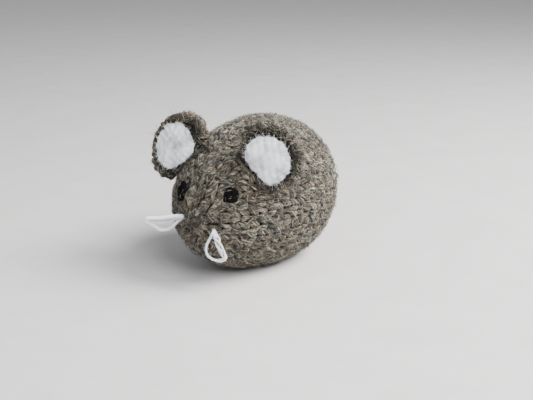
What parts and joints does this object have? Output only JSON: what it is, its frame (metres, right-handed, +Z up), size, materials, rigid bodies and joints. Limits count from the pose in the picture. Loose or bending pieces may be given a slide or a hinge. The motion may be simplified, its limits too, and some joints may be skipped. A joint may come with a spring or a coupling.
{
  "type": "knitted toy mouse",
  "caption": "Stuffed mouse knitted in tweed wool, egg-shaped with cupped felt-lined ears, black yarn eyes and white yarn whisker loops.",
  "frame": {"origin": "on the surface that the belly rests on, under the middle of the whole mouse's box", "axes": "+Z up; -Y is the way the nose points; +X is the mouse's left side"},
  "size_m": [0.0646, 0.0882, 0.0612],
  "materials": {
    "wool": "heathered brown, grey and cream wool, hairy and matte",
    "fibre": "loose white polyester fibre",
    "felt": "off-white felt, slightly fuzzy",
    "black_yarn": "black yarn, matte",
    "cotton": "soft white cotton yarn"
  },
  "bodies": {
    "body": {"body_cover": "wool", "stuffing": "fibre", "nose_gather_yarn": "wool", "rump_gather_yarn": "wool", "left_eye": "black_yarn", "right_eye": "black_yarn", "left_ear_sewing": "wool", "right_ear_sewing": "wool", "whisker_yarn_run": "cotton"},
    "left_ear": {"left_ear": "wool", "left_ear_felt": "felt", "left_ear_felt_thread": "cotton"},
    "right_ear": {"right_ear": "wool", "right_ear_felt": "felt", "right_ear_felt_thread": "cotton"},
    "left_whisker": {"left_whisker": "cotton"},
    "right_whisker": {"right_whisker": "cotton"}
  },
  "joints": [
    {"name": "left_ear_fold", "type": "hinge", "parent": "body", "child": "left_ear", "pos_m": [0.01596, -0.01642, 0.04411], "axis": [0.6795, 0.1444, -0.7193], "range_deg": [-10, 34], "stiffness_Nm_per_rad": 0.002},
    {"name": "right_ear_fold", "type": "hinge", "parent": "body", "child": "right_ear", "pos_m": [-0.01626, -0.01643, 0.04467], "axis": [0.7696, 0.1082, 0.6293], "range_deg": [-6, 29], "stiffness_Nm_per_rad": 0.002},
    {"name": "left_whisker_swing", "type": "hinge", "parent": "body", "child": "left_whisker", "pos_m": [0.00743, -0.03315, 0.02263], "axis": [-0.8425, -0.5388, 0], "range_deg": [-4, 82], "stiffness_Nm_per_rad": 0.00004},
    {"name": "right_whisker_swing", "type": "hinge", "parent": "body", "child": "right_whisker", "pos_m": [-0.0087, -0.03316, 0.02491], "axis": [-0.8425, 0.5388, 0], "range_deg": [-62, 12], "stiffness_Nm_per_rad": 0.00004}
  ]
}
